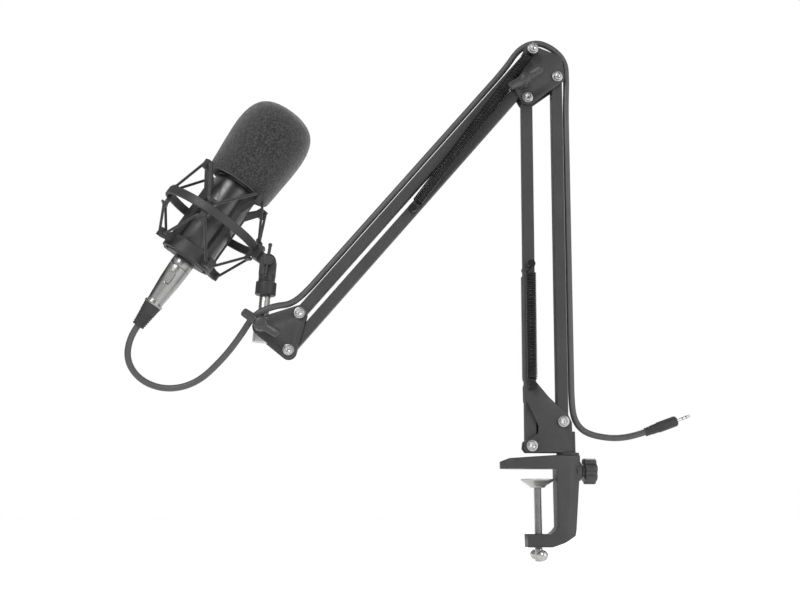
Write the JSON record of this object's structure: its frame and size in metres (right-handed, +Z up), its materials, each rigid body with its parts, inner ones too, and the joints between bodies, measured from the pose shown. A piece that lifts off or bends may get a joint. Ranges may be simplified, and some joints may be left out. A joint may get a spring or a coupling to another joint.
{
  "type": "condenser microphone",
  "caption": "Side-address condenser microphone with foam windscreen in an elastic shock mount, on a spring-balanced two-section folding desk arm with screw clamp and cable.",
  "frame": {"origin": "on the clamp screw's axis where it meets the underside of the clamp's upper jaw, which rests on the desk top", "axes": "+Z up; +X from the microphone's side towards the base column, in the arm's folding plane; the microphone faces -Y"},
  "size_m": [0.5713, 0.11, 0.5473],
  "materials": {
    "black_steel": "fine textured black powder coat",
    "mic_paint": "satin black enamel",
    "bright_steel": "zinc and nickel plated",
    "black_plastic": "moulded, light grain",
    "spring_steel": "black oxide wire",
    "black_rubber": "soft moulded",
    "cable_jacket": "satin jacket",
    "foam": "open-cell acoustic foam",
    "elastic": "braided elastic",
    "grille": "woven wire mesh",
    "board": "solder mask"
  },
  "bodies": {
    "clamp": {"clamp_frame": "black_steel", "cable_tail": "cable_jacket", "jack_body": "black_rubber", "jack_pin": "bright_steel"},
    "pad": {"pressure_pad": "bright_steel"},
    "screw": {"clamp_screw": "bright_steel"},
    "tommy": {"tommy_bar": "bright_steel"},
    "lock": {"lock_knob": "black_plastic", "lock_screw": "bright_steel"},
    "base": {"base_plates": "black_steel", "base_foot": "black_steel", "swivel_washer": "black_plastic", "base_fasteners": "bright_steel", "spring_anchors": "black_steel"},
    "rod_right": {"lower_rod_right": "black_steel", "lower_rod_right_caps": "black_plastic", "cable_lower": "cable_jacket"},
    "rod_left": {"lower_rod_left": "black_steel", "lower_rod_left_caps": "black_plastic", "lower_spring_pin": "black_steel"},
    "lower_spring": {"lower_springs": "spring_steel"},
    "lower_hook": {"lower_spring_hooks": "spring_steel"},
    "elbow": {"elbow_plates": "black_steel", "elbow_fasteners": "bright_steel", "elbow_clamp_bolt": "black_steel", "cable_elbow": "cable_jacket"},
    "elbow_wing": {"elbow_wing_nut": "black_plastic"},
    "rod_top": {"upper_rod_top": "black_steel", "upper_rod_top_caps": "black_plastic", "cable_upper": "cable_jacket"},
    "rod_bottom": {"upper_rod_bottom": "black_steel", "upper_rod_bottom_caps": "black_plastic", "upper_spring_pin": "black_steel"},
    "upper_spring": {"upper_springs": "spring_steel"},
    "upper_hook": {"upper_spring_hooks": "spring_steel"},
    "end": {"end_plates": "black_steel", "end_fasteners": "bright_steel", "end_clamp_bolt": "black_steel", "cable_bracket": "cable_jacket"},
    "end_wing": {"end_wing_nut": "black_plastic"},
    "post": {"swivel_post": "bright_steel"},
    "head": {"thread_collar": "black_plastic", "fork": "black_plastic"},
    "lever": {"tilt_lever": "black_plastic"},
    "ring": {"shock_ring": "black_plastic"},
    "mic": {"cage": "black_plastic", "elastic_cords": "elastic", "mic_base_ring": "black_plastic", "mic_body": "mic_paint", "mic_grille": "grille", "capsule": "bright_steel", "circuit_board": "board", "xlr_inlet": "black_plastic", "cable_loop": "cable_jacket"},
    "windscreen": {"foam_windscreen": "foam"},
    "plug": {"plug_shell": "bright_steel", "plug_insert": "black_plastic", "plug_boot": "black_rubber"},
    "latch": {"plug_latch": "bright_steel"}
  },
  "joints": [
    {"name": "pad_travel", "type": "slide", "parent": "clamp", "child": "pad", "axis": [0, 0, 1], "range_m": [-0.0421, 0.0011]},
    {"name": "screw_turn", "type": "hinge", "parent": "pad", "child": "screw", "pos_m": [0, 0, -0.03], "axis": [0, 0, 1], "range_deg": [-12096, 288]},
    {"name": "tommy_bar_slide", "type": "slide", "parent": "screw", "child": "tommy", "axis": [0, 1, 0], "range_m": [-0.0095, 0.0095]},
    {"name": "lock_knob_turn", "type": "hinge", "parent": "clamp", "child": "lock", "pos_m": [0.047, 0, -0.002], "axis": [1, 0, 0], "continuous": true},
    {"name": "arm_swivel", "type": "hinge", "parent": "clamp", "child": "base", "pos_m": [0.0315, 0, 0.0136], "axis": [0, 0, 1], "range_deg": [-120, 120], "deforming": ["cable_tail"]},
    {"name": "lower_arm_tilt", "type": "hinge", "parent": "base", "child": "rod_right", "pos_m": [0.0265, 0, 0.047], "axis": [0, 1, 0], "range_deg": [-45, 33], "deforming": ["lower_springs", "lower_spring_hooks", "cable_lower", "cable_elbow"]},
    {"name": "lower_left_rod_tilt", "type": "hinge", "parent": "base", "child": "rod_left", "pos_m": [-0.006, 0, 0.0227], "axis": [0, 1, 0], "range_deg": [-45.5, 33.5]},
    {"name": "elbow_level", "type": "hinge", "parent": "rod_right", "child": "elbow", "pos_m": [0.03002, 0, 0.41328], "axis": [0, 1, 0], "range_deg": [-33.5, 45.5]},
    {"name": "lower_spring_swing", "type": "hinge", "parent": "rod_left", "child": "lower_spring", "pos_m": [-0.00423, 0, 0.20669], "axis": [0, 1, 0], "range_deg": [-19, 14]},
    {"name": "lower_hook_swing", "type": "hinge", "parent": "base", "child": "lower_hook", "pos_m": [-0.00543, 0, 0.0822], "axis": [0, 1, 0], "range_deg": [-64, 47]},
    {"name": "elbow_wing_turn", "type": "hinge", "parent": "elbow", "child": "elbow_wing", "pos_m": [-0.008, 0, 0.4025], "axis": [0, 1, 0], "continuous": true},
    {"name": "upper_arm_tilt", "type": "hinge", "parent": "elbow", "child": "rod_top", "pos_m": [0.0025, 0, 0.44], "axis": [0, 1, 0], "range_deg": [-5, 60], "deforming": ["upper_springs", "upper_spring_hooks", "cable_upper", "cable_bracket"]},
    {"name": "upper_bottom_rod_tilt", "type": "hinge", "parent": "elbow", "child": "rod_bottom", "pos_m": [-0.008, 0, 0.4025], "axis": [0, 1, 0], "range_deg": [-5.5, 60.5]},
    {"name": "end_bracket_level", "type": "hinge", "parent": "rod_top", "child": "end", "pos_m": [-0.23909, 0, 0.15411], "axis": [0, 1, 0], "range_deg": [-60.5, 5.5]},
    {"name": "upper_spring_swing", "type": "hinge", "parent": "rod_bottom", "child": "upper_spring", "pos_m": [-0.12547, 0, 0.26349], "axis": [0, 1, 0], "range_deg": [-9, 1]},
    {"name": "upper_hook_swing", "type": "hinge", "parent": "elbow", "child": "upper_hook", "pos_m": [0.0025, 0, 0.44], "axis": [0, 1, 0], "range_deg": [-5, 52.5]},
    {"name": "end_wing_turn", "type": "hinge", "parent": "end", "child": "end_wing", "pos_m": [-0.2765, 0, 0.14], "axis": [0, 1, 0], "continuous": true},
    {"name": "head_tilt", "type": "hinge", "parent": "end", "child": "post", "pos_m": [-0.2765, 0, 0.14], "axis": [0, 1, 0], "range_deg": [-25, 25]},
    {"name": "mount_swivel", "type": "hinge", "parent": "post", "child": "head", "pos_m": [-0.2765, 0, 0.14], "axis": [0.0698, 0, 0.9976], "range_deg": [-75, 75]},
    {"name": "mount_tilt", "type": "hinge", "parent": "head", "child": "ring", "pos_m": [-0.27183, 0, 0.20684], "axis": [0, 1, 0], "range_deg": [-35, 30], "deforming": ["cable_loop"]},
    {"name": "lever_turn", "type": "hinge", "parent": "head", "child": "lever", "pos_m": [-0.27183, 0, 0.20684], "axis": [0, 1, 0], "range_deg": [-45, 45]},
    {"name": "suspension_float", "type": "slide", "parent": "ring", "child": "mic", "axis": [0.5446, 0, 0.8387], "range_m": [-0.003, 0.003], "stiffness_N_per_m": 4000, "springref_m": 0.001, "deforming": ["elastic_cords"]},
    {"name": "windscreen_pull", "type": "slide", "parent": "mic", "child": "windscreen", "axis": [0.5446, 0, 0.8387], "range_m": [0, 0.07]},
    {"name": "plug_pull", "type": "slide", "parent": "mic", "child": "plug", "axis": [0.5446, 0, 0.8387], "range_m": [-0.012, 0]},
    {"name": "latch_press", "type": "slide", "parent": "plug", "child": "latch", "axis": [0, 1, 0], "range_m": [0, 0.0012], "stiffness_N_per_m": 800}
  ],
  "couplings": [
    {"joint": "pad_travel", "follows": "screw_turn", "m_per_rad": 0.00019894},
    {"joint": "lower_left_rod_tilt", "follows": "lower_arm_tilt", "ratio": 1},
    {"joint": "elbow_level", "follows": "lower_arm_tilt", "ratio": -1},
    {"joint": "lower_spring_swing", "follows": "lower_arm_tilt", "ratio": 0.4},
    {"joint": "lower_hook_swing", "follows": "lower_arm_tilt", "ratio": 1.4},
    {"joint": "upper_bottom_rod_tilt", "follows": "upper_arm_tilt", "ratio": 1},
    {"joint": "end_bracket_level", "follows": "upper_arm_tilt", "ratio": -1},
    {"joint": "upper_spring_swing", "follows": "upper_arm_tilt", "ratio": -0.14},
    {"joint": "upper_hook_swing", "follows": "upper_arm_tilt", "ratio": 0.86}
  ]
}
